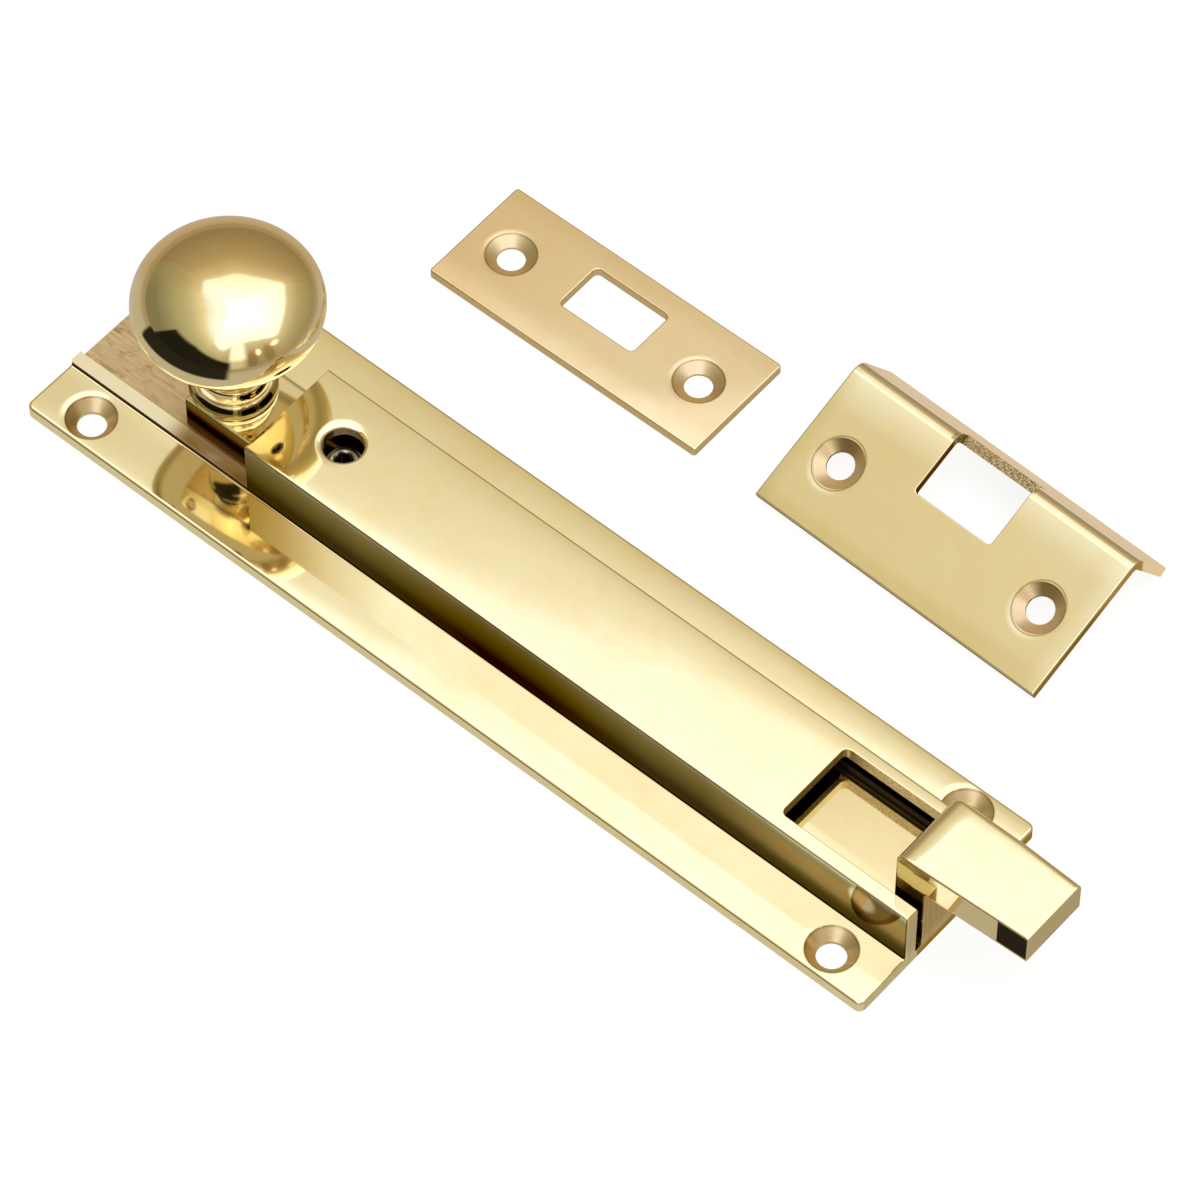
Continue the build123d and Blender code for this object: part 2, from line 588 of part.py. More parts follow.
os.makedirs("parts", exist_ok=True)
write("body", make_body())
write("bolt_bar", make_bolt())
write("knob", make_knob())
write("knob_collar", make_collar())
write("knob_screw", make_knob_screw())
write("stop_screw", make_stop_screw())
write("friction_spring", make_spring())
write("spring_rivets", *[make_rivet(x) for x in RIVET_X])
write("mortice_keep", make_mortice_keep())
write("rim_keep", make_rim_keep())
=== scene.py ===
"""A brass sliding bolt with its mortice keep and its rim keep, lying on a white table.

The bolt's length runs along X: the knob is towards -X and the tip of the bar towards +X.
Front is -Y, the keeps lie behind the bolt (+Y), and the table is at z = 0. Scene and
shader lengths are in metres. The turned parts and screws are laid out in millimetres.
"""
import bpy
import bmesh
import math
from mathutils import Vector, Matrix


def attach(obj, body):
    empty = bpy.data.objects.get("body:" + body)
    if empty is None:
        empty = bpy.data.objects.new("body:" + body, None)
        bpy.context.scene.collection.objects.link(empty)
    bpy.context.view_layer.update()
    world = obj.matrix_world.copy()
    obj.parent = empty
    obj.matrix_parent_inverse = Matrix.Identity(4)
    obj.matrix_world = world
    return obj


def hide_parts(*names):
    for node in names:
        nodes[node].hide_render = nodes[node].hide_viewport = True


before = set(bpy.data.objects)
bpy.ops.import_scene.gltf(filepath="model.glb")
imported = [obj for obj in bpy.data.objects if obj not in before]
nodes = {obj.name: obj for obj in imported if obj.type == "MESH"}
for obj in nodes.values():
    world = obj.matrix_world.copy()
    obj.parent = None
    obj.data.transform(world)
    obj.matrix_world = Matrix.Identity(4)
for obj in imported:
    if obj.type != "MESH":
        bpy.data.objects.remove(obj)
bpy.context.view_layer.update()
scene = bpy.context.scene

MM = 0.001
DEG = math.pi / 180
TO_DEGREES = 180 / math.pi

# Places and heights in millimetres
KNOB_X, KNOB_Y = -53.3, 0.2
STOP_X, STOP_Y = -32.4, 0.05
BAR_TOP = 7.4
COLLAR_TOP = BAR_TOP + 2.3

# The same axes, and the housing's screw holes, in metres
KNOB_AXIS = (KNOB_X * MM, KNOB_Y * MM)
STOP_AXIS = (STOP_X * MM, STOP_Y * MM)
HOUSING_HOLES = [(side * 0.0674, edge * 0.01435) for side in (-1, 1) for edge in (-1, 1)]
HALF_WIDTH = 0.0187    # housing, across Y
SCREW_HOLE = 0.0038    # radius of every countersunk hole at the surface
STOP_HOLE = 0.0029     # radius of the hole over the stop screw

GOLD = (0.91, 0.80, 0.50)
DARK = (0.012, 0.011, 0.008)    # the tent's opening, and the table in front of it


# ------------------------------------------------------------------ shader arithmetic
class Value:
    """An output of a shader node. Arithmetic on it adds math nodes to the same tree."""

    def __init__(self, tree, socket):
        self.tree = tree
        self.socket = socket

    def __add__(self, other):
        return calc("ADD", self, other)

    def __radd__(self, other):
        return calc("ADD", other, self)

    def __sub__(self, other):
        return calc("SUBTRACT", self, other)

    def __rsub__(self, other):
        return calc("SUBTRACT", other, self)

    def __mul__(self, other):
        return calc("MULTIPLY", self, other)

    def __truediv__(self, other):
        return calc("DIVIDE", self, other)

    def __rtruediv__(self, other):
        return calc("DIVIDE", other, self)

    def __pow__(self, other):
        return calc("POWER", self, other)

    def __mod__(self, other):
        return calc("MODULO", self, other)

    def __abs__(self):
        return calc("ABSOLUTE", self)

    def ease(self, start, end, to=(0.0, 1.0), kind="SMOOTHSTEP"):
        """Goes from to[0] at start to to[1] at end. Start may be above end."""
        inputs = dict(enumerate((self, start, end, *to)))
        return add_value(self.tree, "ShaderNodeMapRange", inputs, interpolation_type=kind)

    def linear(self, start, end):
        return self.ease(start, end, kind="LINEAR")

    def within(self, low, high, soft):
        """1 between low and high, with edges that are soft to either side."""
        return self.ease(low - soft, low + soft) * self.ease(high + soft, high - soft)

    def ramp(self, stops):
        """Colour ramp through (position, grey or colour) stops."""
        made = add_node(self.tree, "ShaderNodeValToRGB", {0: self})
        band = made.color_ramp
        band.interpolation = "LINEAR"
        while len(band.elements) > 1:
            band.elements.remove(band.elements[-1])
        for i, (position, color) in enumerate(stops):
            stop = band.elements[0] if i == 0 else band.elements.new(position)
            stop.position = position
            if isinstance(color, (int, float)):
                color = (color,) * 3
            stop.color = (*color, 1.0)
        return Value(self.tree, made.outputs[0])


def add_node(tree, kind, inputs=None, **props):
    """Add a node. Inputs are numbers, colours or Values, by socket name or index."""
    made = tree.nodes.new(kind)
    count = len(tree.nodes)
    made.location = (12 * count - 2200, count * 37 % 900)
    for name, setting in props.items():
        setattr(made, name, setting)
    for key, value in (inputs or {}).items():
        socket = made.inputs[key]
        if isinstance(value, Value):
            tree.links.new(value.socket, socket)
        elif socket.type == "RGBA" and len(value) == 3:
            socket.default_value = (*value, 1.0)
        else:
            socket.default_value = value
    return made


def add_value(tree, kind, inputs=None, output=0, **props):
    return Value(tree, add_node(tree, kind, inputs, **props).outputs[output])


def all_values(tree, kind, inputs=None):
    made = add_node(tree, kind, inputs)
    return {socket.name: Value(tree, socket) for socket in made.outputs}


def tree_of(terms):
    return next(term.tree for term in terms if isinstance(term, Value))


def calc(operation, *terms):
    inputs = dict(enumerate(terms))
    return add_value(tree_of(terms), "ShaderNodeMath", inputs, operation=operation)


def vector(tree, operation, *terms, output=0):
    inputs = dict(enumerate(terms))
    return add_value(tree, "ShaderNodeVectorMath", inputs, output, operation=operation)


def split(source):
    return tuple(all_values(source.tree, "ShaderNodeSeparateXYZ", {0: source}).values())


def combine(*parts):
    return add_value(tree_of(parts), "ShaderNodeCombineXYZ", dict(enumerate(parts)))


def stretch(source, scale):
    return add_value(source.tree, "ShaderNodeMapping", {0: source, "Scale": scale})


def noise(source, scale=1.0, detail=2.0, rough=0.5):
    inputs = {"Vector": source, "Scale": scale, "Detail": detail, "Roughness": rough}
    return add_value(source.tree, "ShaderNodeTexNoise", inputs)


def mix(mask, low, high, blend="MIX"):
    """Colour low where the mask is 0, high where it is 1."""
    return add_value(mask.tree, "ShaderNodeMix", {0: mask, 6: low, 7: high}, 2,
                     data_type="RGBA", blend_type=blend)


def mix_number(mask, low, high):
    return add_value(mask.tree, "ShaderNodeMix", {0: mask, 2: low, 3: high}, data_type="FLOAT")


def longitude(x, y):
    """Degrees around the vertical: 0 = +Y, 90 = +X."""
    return calc("ARCTAN2", x, y) * TO_DEGREES


def full_turn(lon):
    return (lon + 360.0) % 360.0


def stops_over(rows, low, high, tone=lambda value: value):
    """Ramp stops from rows of (reading between low and high, value)."""
    return [((reading - low) / (high - low), tone(value)) for reading, value in rows]


def finish_tree(shader, kind):
    add_node(shader.tree, kind, {0: shader})


def empty_material(name):
    material = bpy.data.materials.new(name)
    material.use_nodes = True
    material.node_tree.nodes.clear()
    return material


# ------------------------------------------------------------------ studio: a tent of light
# Longitude, and the latitude where the pale walls give way to the bright ceiling (degrees)
CEILING_EDGE = [
    (-180, 57), (-165, 62), (-150, 66), (-127, 68.5), (-105, 65), (-92, 59), (-82, 54.5),
    (-77, 53), (-72, 55), (-62, 57), (-47, 56.1), (-36, 56.0), (-26, 56.2), (-16, 54.5),
    (-4, 50), (5, 43), (9, 41.5), (18, 44.5), (38, 46), (52, 45), (65, 42), (76, 37.5),
    (83, 39), (95, 46), (112, 50.5), (138, 50), (143, 45), (150, 39.5), (156, 41),
    (165, 48), (172, 53), (180, 57)]
LEVEL_MAX = 4    # brightness that a ramp value of 1 stands for
# Degrees above the ceiling edge, brightness
LEVEL_FAR = [
    (-50, .35), (-36, .41), (-26, .47), (-16, .55), (-11, .62), (-6, .70), (3, 1.34),
    (10, 1.46), (20, 1.66), (35, 2.2)]
LEVEL_NEAR = [
    (-6, .70), (-3.2, .76), (-2.2, .80), (-1.4, .88), (-.5, .97), (-.15, 1.0), (.2, 1.27),
    (3, 1.34)]
LEVEL_SOFT = [
    (-50, .27), (-38, .37), (-28, .48), (-18, .58), (-13, .66), (-8.5, .77), (-2.5, .94),
    (3.5, 1.12), (10, 1.35), (20, 1.66), (35, 2.2)]
# Share of the turn from longitude -180, tint of the upper wall
WALL_TINT = [
    (0.0, (.97, .90, .58)), (.16, (.95, .89, .56)), (.275, (.92, .85, .54)),
    (.29, (.93, .77, .48)), (.51, (.93, .76, .48)), (.535, (.92, .80, .48)),
    (.70, (.94, .84, .50)), (.74, (1.1, .86, .50)), (.84, (1.0, .76, .44)),
    (.88, (.97, .90, .66)), (1.0, (.97, .90, .58))]
SEAMS = [(-77.0, 2.2), (7.5, 2.0)]    # longitude, half width
# Oval spots on the right: longitude, latitude, their half widths, core size, strength, colour
BRIGHT, BROWN = (1.5, 1.42, 1.25), (0.22, 0.13, 0.05)
SPOTS = [
    (86.0, 30.0, 6.0, 5.0, 0.3, 0.85, BRIGHT), (108.0, 28.0, 3.5, 7.0, 0.3, 0.85, BRIGHT),
    (97.0, 18.0, 7.0, 20.0, 0.2, 0.55, BROWN), (116.0, 14.0, 6.0, 22.0, 0.2, 0.55, BROWN)]


def wall_level(lon, above):
    """Brightness by height above the ceiling edge, whose step is sharp except front left."""
    def level(value):
        return value / LEVEL_MAX
    far = above.linear(start=-50.0, end=40.0)
    near = above.linear(start=-6.0, end=3.0)
    far_level = far.ramp(stops_over(LEVEL_FAR, -50, 40, level))
    near_level = near.ramp(stops_over(LEVEL_NEAR, -6, 3, level))
    sharp = mix_number(abs(above + 1.5).ease(start=4.4, end=4.5), near_level, far_level)
    gradual = far.ramp(stops_over(LEVEL_SOFT, -50, 40, level))
    soft = calc("MAXIMUM", lon.ease(start=-84.0, end=-102.0) * 1.0,
                lon.ease(start=160.0, end=172.0))
    return mix_number(soft, sharp, gradual) * float(LEVEL_MAX)


def oval(lon, lat, center, radii):
    """Squared distance from the centre, 1 on the oval's outline."""
    return ((lon - center[0]) / radii[0]) ** 2.0 + ((lat - center[1]) / radii[1]) ** 2.0


def studio_world():
    world = bpy.data.worlds.new("studio")
    scene.world = world
    world.use_nodes = True
    tree = world.node_tree
    tree.nodes.clear()
    generated = add_value(tree, "ShaderNodeTexCoord", output="Generated")
    x, y, z = split(vector(tree, "NORMALIZE", generated))
    lat = calc("ARCSINE", z) * TO_DEGREES
    lon = longitude(x, y)
    turn = (lon + 180.0) / 360.0
    edge = turn.ramp(stops_over(CEILING_EDGE, -180, 180, lambda degrees: degrees / 90)) * 90.0
    above = lat - edge
    level = wall_level(lon, above)
    # tint: warm near the table, neutral at the edge, faintly blue on the ceiling
    tint = mix(above.ease(start=-22.0, end=-4.0), turn.ramp(WALL_TINT), (1.0, .89, .64))
    tint = mix(above.linear(start=-4.5, end=-0.2), tint, (1.0, .975, .88))
    tint = mix(above.ease(start=-0.2, end=0.25), tint, (1.0, 1.01, 1.10))
    col = add_value(tree, "ShaderNodeVectorMath", {0: tint, 3: level}, operation="SCALE")
    # seams between the tent's panels
    for center, width in SEAMS:
        seam = abs(lon - center).ease(start=0.0, end=width, to=(1.0, 0.0))
        seam = seam * above.ease(start=0.0, end=-3.0)
        col = mix(seam * 0.09, col, (0.06, 0.05, 0.03))
    # bright upright strip at the front right, brightest high up
    strip = (lon.ease(start=119.0, end=129.0) * lon.ease(start=144.0, end=137.0)
             * above.ease(start=1.5, end=-1.5))
    col = mix(strip * lat.ease(start=-20.0, end=14.0) * 0.8, col, (.80, .74, .58))
    col = mix(strip * lat.ease(start=14.0, end=27.0) * 0.95, col, (1.55, 1.5, 1.42))
    for spot_lon, spot_lat, wide, high, core, strength, color in SPOTS:
        reach = oval(lon, lat, (spot_lon, spot_lat), (wide, high))
        col = mix(reach.ease(start=1.3, end=core) * strength, col, color)
    # dark opening at the front
    around = full_turn(lon)
    right_edge = 226.0 - lat * 0.33
    top_edge = calc("MINIMUM", 18.0 + (around - 146.0) * 0.40, 33.0)
    opening = (around.ease(start=137.0, end=143.0)
               * (right_edge - around).ease(start=-1.0, end=2.0)
               * (top_edge - lat).ease(start=-3.0, end=4.0))
    col = mix(opening * 0.99, col, DARK)
    # light that has bounced more than once sees a bluish patch high at the front left
    depth = add_value(tree, "ShaderNodeLightPath", output="Ray Depth")
    bounced = depth.ease(start=2.4, end=2.6)
    reach = oval(around, lat, center=(219.0, 54.0), radii=(30.0, 17.0))
    patch = reach.ease(start=1.3, end=0.6) * bounced
    col = mix(patch * 0.9, col, (1.30, 1.50, 2.30))
    background = add_value(tree, "ShaderNodeBackground", {"Color": col, "Strength": 1.0})
    finish_tree(background, "ShaderNodeOutputWorld")
    world.cycles.sampling_method = "MANUAL"
    world.cycles.sample_map_resolution = 512


studio_world()


# ------------------------------------------------------------------ floor
FLOOR_CELLS = 16
FLOOR_CELL = 0.35
FLOOR_Z = -0.00006


def reflected_table(tree, light):
    """The table as the metal sees it, a painted glow: warmer and dimmer far off, with painted
    shade dark towards the front.
    """
    x, y, _ = split(add_value(tree, "ShaderNodeNewGeometry", output="Position"))
    from_knob = x + -KNOB_X * MM
    dist = calc("SQRT", from_knob * from_knob + y * y)
    around = full_turn(longitude(from_knob, y))
    dark = dist.ease(start=0.047, end=0.060) * (
        around.ease(start=137.0, end=144.0) * around.ease(start=234.0, end=230.0))
    tone = mix(dist.ease(start=0.06, end=0.30), (0.56, 0.51, 0.43), (0.42, 0.345, 0.235))
    tone = mix(dark * 0.98, tone, DARK)
    # painted light: paler right beside the metal, and palest under the keeps
    length = light["Ray Length"]
    tone = mix(length.ease(start=0.006, end=0.0015), tone, (0.66, 0.63, 0.52))
    behind = (x.ease(start=0.002, end=0.010) * x.ease(start=0.092, end=0.084)) * (
        y.ease(start=0.050, end=0.056) * y.ease(start=0.100, end=0.085))
    return mix(behind * length.ease(start=0.035, end=0.022), tone, (1.02, .96, .96))


def floor_material():
    material = empty_material("floor_white")
    tree = material.node_tree
    light = all_values(tree, "ShaderNodeLightPath")
    # what the camera sees: a white table with a faint contact shadow
    diffuse = add_value(tree, "ShaderNodeBsdfDiffuse", {"Color": (0.22, 0.22, 0.22)})
    glow = add_value(tree, "ShaderNodeEmission", {"Color": (1, 1, 1), "Strength": 0.86})
    white = add_value(tree, "ShaderNodeAddShader", {0: diffuse, 1: glow})
    mirrored = add_value(tree, "ShaderNodeEmission",
                         {"Color": reflected_table(tree, light), "Strength": 1.0})
    shader = add_value(tree, "ShaderNodeMixShader",
                       {0: light["Is Glossy Ray"], 1: white, 2: mirrored})
    finish_tree(shader, "ShaderNodeOutputMaterial")
    return material


def make_floor():
    bm = bmesh.new()
    row, middle = FLOOR_CELLS + 1, FLOOR_CELLS // 2
    for x in range(row):
        for y in range(row):
            bm.verts.new(((x - middle) * FLOOR_CELL, (y - middle) * FLOOR_CELL, FLOOR_Z))
    bm.verts.ensure_lookup_table()
    for x in range(FLOOR_CELLS):
        for y in range(FLOOR_CELLS):
            i = x * row + y
            bm.faces.new([bm.verts[k] for k in (i, i + row, i + row + 1, i + 1)])
    floor = object_from(bm, "floor")
    floor.data.materials.append(floor_material())


def object_from(bm, name):
    mesh = bpy.data.meshes.new(name)
    bm.to_mesh(mesh)
    bm.free()
    made = bpy.data.objects.new(name, mesh)
    scene.collection.objects.link(made)
    return made


make_floor()


# ------------------------------------------------------------------ metal
# Stretch of the fine scratches
ALONG_X = (50.0, 2600.0, 2600.0)
NO_GRAIN = (900.0, 900.0, 900.0)


class Metal:
    """A metal's node tree, built in steps: colour, roughness, and a normal that is tilted
    and bumped into the hand-polished form.

    rough_var is how far the roughness wanders, wave and lines scale the broad and the fine
    bumps, grain stretches the fine noise, and drift is the strength of the brown areas.
    """

    def __init__(self, name, base, rough, rough_var, wave, lines, grain=ALONG_X, drift=0.3):
        self.material = empty_material(name)
        tree = self.tree = self.material.node_tree
        self.point = add_value(tree, "ShaderNodeTexCoord", output="Object")
        self.x, self.y, self.z = split(self.point)
        self.normal = add_value(tree, "ShaderNodeNewGeometry", output="Normal")
        self.facing = split(self.normal)
        fine = noise(stretch(self.point, grain), detail=3.0, rough=0.6)
        broad = noise(self.point, scale=45.0, detail=2.0, rough=0.4)
        self.blotch = noise(self.point, scale=210.0, detail=4.0, rough=0.62)
        warm = tuple(v * k for v, k in zip(base, (0.985, 0.955, 0.885)))
        brown = tuple(v * k for v, k in zip(base, (0.95, 0.89, 0.76)))
        self.col = mix(self.blotch.ease(start=0.38, end=0.78), base, warm)
        self.col = mix(broad.ease(start=0.48, end=0.8) * drift, self.col, brown)
        self.rough = (rough + (self.blotch - 0.5) * rough_var
                      + (fine - 0.5) * (rough_var * 0.9))
        self.edge = (1.0, 1.0, 1.0)    # tint at grazing angles
        self.tilt = None
        self.bumps = [(broad, 0.000020 * wave), (fine, 0.0000018 * lines)]
        self.camera = add_value(tree, "ShaderNodeLightPath", output="Is Camera Ray")

    def add_tilt(self, x, y, z):
        tilt = combine(x, y, z)
        self.tilt = vector(self.tree, "ADD", self.tilt, tilt) if self.tilt else tilt

    def add_bump(self, height, distance):
        self.bumps.append((height, distance))

    def radial(self, center):
        """Offsets and distance from an upright axis."""
        dx = self.x - center[0]
        dy = self.y - center[1]
        return dx, dy, calc("SQRT", dx * dx + dy * dy)

    def toward(self, direction):
        return vector(self.tree, "DOT_PRODUCT", self.normal, direction, output=1)

    def ring(self, center, radius, width, degrees, drag=(-1.0, 0.0), spread=0.25):
        """Dip the surface towards a hole's rim on the side that drag points to."""
        dx, dy, dist = self.radial(center)
        fall = (dist.ease(start=radius + width, end=radius + width * 0.15)
                * dist.ease(start=radius - 0.0004, end=radius - 0.0001))
        inverse = 1.0 / calc("MAXIMUM", dist, 0.0005)
        out_x, out_y = dx * inverse, dy * inverse
        side = out_x * drag[0] + out_y * drag[1]
        side = calc("MAXIMUM", side.linear(start=-0.1 - spread, end=1.0), 0.0) ** 1.3
        lean = fall * side * -math.tan(degrees * DEG)
        lean = lean * self.facing[2].ease(start=0.85, end=0.93)
        self.add_tilt(out_x * lean, out_y * lean, 0.0)

    def countersinks(self, holes, flat, edge, seat, colors, rim_tint, rim_amount,
                     grain_at=(0.0, 0.0), **ring):
        """Dragged rims and turned cones. edge and seat are the radii where a cone begins
        and is full; flat is 1 where the normal is that of the plate's face."""
        cone = nearest = None
        for hole in holes:
            self.ring(hole, SCREW_HOLE, degrees=5.0, **ring)
            dist = self.radial(hole)[2]
            inside = dist.ease(start=edge, end=seat)
            cone = calc("MAXIMUM", cone, inside) if cone else inside
            nearest = calc("MINIMUM", nearest, dist) if nearest else dist
        cone = cone * flat.ease(start=0.9, end=0.84)
        turned = noise(combine(nearest * 9000.0, *grain_at), detail=2.0, rough=0.6)
        self.patch(cone, mix(turned, *colors), rough=0.30)
        groove_pitch = 0.00022
        grooves = calc("SINE", nearest * (2 * math.pi / groove_pitch)) * cone
        self.add_bump(grooves, 0.000004)
        rim = (nearest.ease(start=edge - 0.0002, end=edge - 0.00004)
               * nearest.ease(start=edge + 0.0002, end=edge + 0.00006))
        self.shade(rim * rim_amount, rim_tint)

    def patch(self, mask, color, rough=None, amount=1.0):
        """Replace the colour, and the roughness if given."""
        mask = mask * amount
        self.col = mix(mask, self.col, color)
        self.edge = mix(mask, self.edge, color)
        if rough is not None:
            self.rough = mix_number(mask, self.rough, rough)

    def shade(self, mask, color, edge_color=None):
        """Multiply by a tint, at grazing angles too."""
        self.col = mix(mask, self.col, color, "MULTIPLY")
        self.edge = mix(mask, self.edge, edge_color or color, "MULTIPLY")

    def tone(self, mask, color):
        """Like shade, with a weaker tint at grazing angles."""
        weaker = vector(self.tree, "MULTIPLY", color, (0.75, 0.75, 0.75))
        self.shade(mask, color, vector(self.tree, "ADD", weaker, (0.5, 0.5, 0.5)))

    def done(self):
        tree, normal = self.tree, self.normal
        if self.tilt:
            normal = vector(tree, "NORMALIZE", vector(tree, "ADD", normal, self.tilt))
        for height, distance in self.bumps:
            normal = add_value(tree, "ShaderNodeBump", {
                "Strength": 1.0, "Distance": distance, "Height": height, "Normal": normal})
        shader = add_value(tree, "ShaderNodeBsdfPrincipled", {
            "Base Color": self.col, "Metallic": 1.0, "Specular Tint": self.edge,
            "Roughness": calc("MAXIMUM", self.rough, 0.03), "Normal": normal})
        finish_tree(shader, "ShaderNodeOutputMaterial")
        return self.material


def milled(metal):
    """Upright milling marks."""
    return noise(stretch(metal.point, (900.0, 2600.0, 140.0)), detail=3.0, rough=0.6)


# ------------------------------------------------------------------ housing
# Millimetres from the front edge, degrees of lean towards the front
CROWN_TOP = [
    (9.4, 2.0), (10.2, 1.0), (11.5, .62), (13.5, .40), (16, .22), (19.5, .12), (22, -.05),
    (24, -.32), (25.6, -.75), (26.8, -1.6)]
CROWN_FLANGE = [
    (.5, 1.2), (1.3, .55), (2.4, .22), (3.6, .02), (5.5, 0), (7.0, .12), (8.2, .5),
    (9.2, .9), (28, .1), (32.6, -.25), (34.5, -.7), (35.8, -1.3), (36.8, -2.6)]
LEAN_SPAN = 8    # degrees that a ramp from 0 to 1 covers, level at 0.5
# Height in millimetres, painted shade of the front wall for the camera, darkest low down by the
# flange, at the knob end and at the bolt end
WALL_SHADE_KNOB_END = [
    (2.3, (.045, .026, .0035)), (4.2, (.041, .022, .0025)), (5.5, (.063, .0385, .007)),
    (6.5, (.089, .058, .0118)), (7.5, (.107, .073, .0145)), (8.5, (.125, .087, .018)),
    (9.5, (.145, .102, .026)), (10.5, (.163, .118, .038)), (11.3, (.182, .133, .048)),
    (11.75, (.26, .21, .10))]
WALL_SHADE_BOLT_END = [
    (2.3, (.056, .034, .004)), (3.5, (.056, .033, .0035)), (4.5, (.079, .049, .0055)),
    (5.5, (.136, .096, .020)), (6.5, (.25, .169, .046)), (7.5, (.295, .18, .05)),
    (8.5, (.31, .195, .052)), (9.5, (.29, .203, .054)), (10.5, (.256, .192, .064)),
    (11.3, (.29, .254, .112)), (11.75, (.50, .48, .30))]
# Share of the way along the wall, tint: the wall's painted reflection in the flange, and a
# painted shade that dips towards the middle
WALL_MIRRORED = [
    (0.0, (.46, .35, .20)), (.25, (.58, .47, .31)), (.55, (.80, .73, .60)), (1.0, (1, 1, 1))]
WALL_DIP = [
    (0.0, (.93, .93, .93)), (.3, (1, 1, 1)), (.6, (.76, .75, .74)), (.76, (.78, .77, .76)),
    (1.0, (1, 1, 1))]
# Noise value, colour
TRACK_COLORS = [
    (.28, (.37, .24, .10)), (.40, (.55, .40, .205)), (.55, (.63, .475, .25)),
    (.75, (.72, .56, .32))]
CUT_COLORS = [(.34, (.44, .31, .14)), (.5, (.80, .64, .34)), (.66, (1.0, .90, .62))]
# the cut's grain in darker colours: painted shade on the window's end face, for the camera
END_CUT_SHADE_COLORS = [(.34, (.11, .08, .035)), (.5, (.24, .185, .09)), (.66, (.40, .33, .17))]


def housing_crown(metal):
    """Slightly crowned faces, and worn rounds that stay bright."""
    _, face_y, face_z = metal.facing
    across = metal.y.linear(start=-HALF_WIDTH, end=HALF_WIDTH)
    top, flange = (across.ramp(stops_over(rows, 0, 37.4, lambda lean: .5 + lean / LEAN_SPAN))
                   for rows in (CROWN_TOP, CROWN_FLANGE))
    lean = mix_number(metal.z.ease(start=0.006, end=0.008), flange, top)
    lean = (lean - 0.5) * (-LEAN_SPAN * DEG)
    metal.add_tilt(0.0, lean * face_z.ease(start=0.9, end=0.96), 0.0)
    # rounds along the wall's top and the flange's front edge
    round_edge = (face_y.ease(start=-0.10, end=-0.25) * face_y.ease(start=-0.99, end=-0.93)
                  * face_z.ease(start=0.05, end=0.15))
    amount = round_edge * mix_number(metal.z.ease(start=0.006, end=0.008), 0.40, 0.62)
    metal.add_tilt(0.0, face_y * -1.0 * amount, 0.0)


def housing_wall(metal):
    """The wall beside the front flange, with painted shade for the camera: darkest low down,
    golden near the bolt end; its reflection in the flange is painted tan at the knob end.
    """
    x, y, z, camera = metal.x, metal.y, metal.z, metal.camera
    wall = (metal.facing[1].ease(start=-0.55, end=-0.85)
            * y.within(low=-0.0098, high=-0.0090, soft=0.00015)
            * z.ease(start=0.00200, end=0.00212))
    # painted reflection: the wall as mirrored in the flange is painted tan at the knob end,
    # clear farther along
    mirrored = wall * (1.0 - camera)
    metal.shade(mirrored, x.linear(start=-0.0425, end=-0.0160).ramp(WALL_MIRRORED))
    full = wall * camera
    right = x.linear(start=0.041, end=0.060)
    wobble = (metal.blotch - 0.5) * 0.0010
    height = (z + wobble).linear(start=0.0022, end=0.0120)
    left_shade, right_shade = (
        height.ramp(stops_over(rows, 2.2, 12.0,
                               lambda color: tuple(v / w for v, w in zip(color, GOLD))))
        for rows in (WALL_SHADE_KNOB_END, WALL_SHADE_BOLT_END))
    # painted reflection: a round spot near the bolt end, where the countersink is mirrored, is
    # left mostly out of the painted shade
    dx, dz = x - 0.0682, z - 0.0092
    dist = calc("SQRT", dx * dx + dz * dz)
    wall = full * (1.0 - dist.ease(start=0.0027, end=0.0015) * 0.85)
    # painted shade for the camera: a little darker towards the middle of the wall, and darkest
    # low down by the flange
    metal.shade(wall, x.linear(start=-0.0425, end=0.0300).ramp(WALL_DIP))
    metal.tone(wall, mix(right, left_shade, right_shade))
    # painted shade along the far top edge, for the camera
    far = y.within(low=0.00822, high=0.00842, soft=0.00005) * (
        z.ease(start=0.0118, end=0.0119) * camera)
    metal.shade(far * 0.55, (.55, .46, .28))
    # stub of the wall beside the open track: its painted shade is lightened
    metal.shade(full * x.ease(start=-0.0422, end=-0.0428), (1.5, 1.4, 1.6))


def housing_track(metal):
    """Rough milled track floor at the knob end, and the ledges beside it."""
    x, y, z, face_z = metal.x, metal.y, metal.z, metal.facing[2]
    track = (z.within(low=0.0012, high=0.0019, soft=0.0001)
             * y.within(low=-0.00722, high=0.00665, soft=0.0001)
             * x.ease(start=-0.0424, end=-0.0426) * face_z.ease(start=0.5, end=0.8))
    marks = noise(stretch(metal.point, (150.0, 2600.0, 2600.0)), detail=4.0, rough=0.7)
    stain = noise(stretch(metal.point, (420.0, 900.0, 900.0)), detail=4.0, rough=0.7)
    stained = stain.ease(start=0.50, end=0.66) * x.ease(start=-0.0560, end=-0.0700)
    color = mix(stained * 0.55, marks.ramp(TRACK_COLORS), (.26, .17, .06))
    metal.patch(track, color, rough=0.38)
    metal.add_bump(marks * track, 0.000012)
    ledge = z.within(low=0.0027, high=0.0031, soft=0.0001) * face_z.ease(start=0.8, end=0.95)
    metal.patch(ledge, (.86, .76, .50), rough=0.20)
    # shaded strip along the track's front side
    strip = (x.ease(start=-0.0590, end=-0.0535) * x.ease(start=-0.0420, end=-0.0424)
             * face_z.ease(start=0.6, end=0.9))
    strip = strip * (y.within(low=-0.0093, high=-0.0050, soft=0.0002)
                     * z.within(low=0.0012, high=0.0031, soft=0.0001))
    metal.tone(strip * metal.camera, (.50, .41, .34))


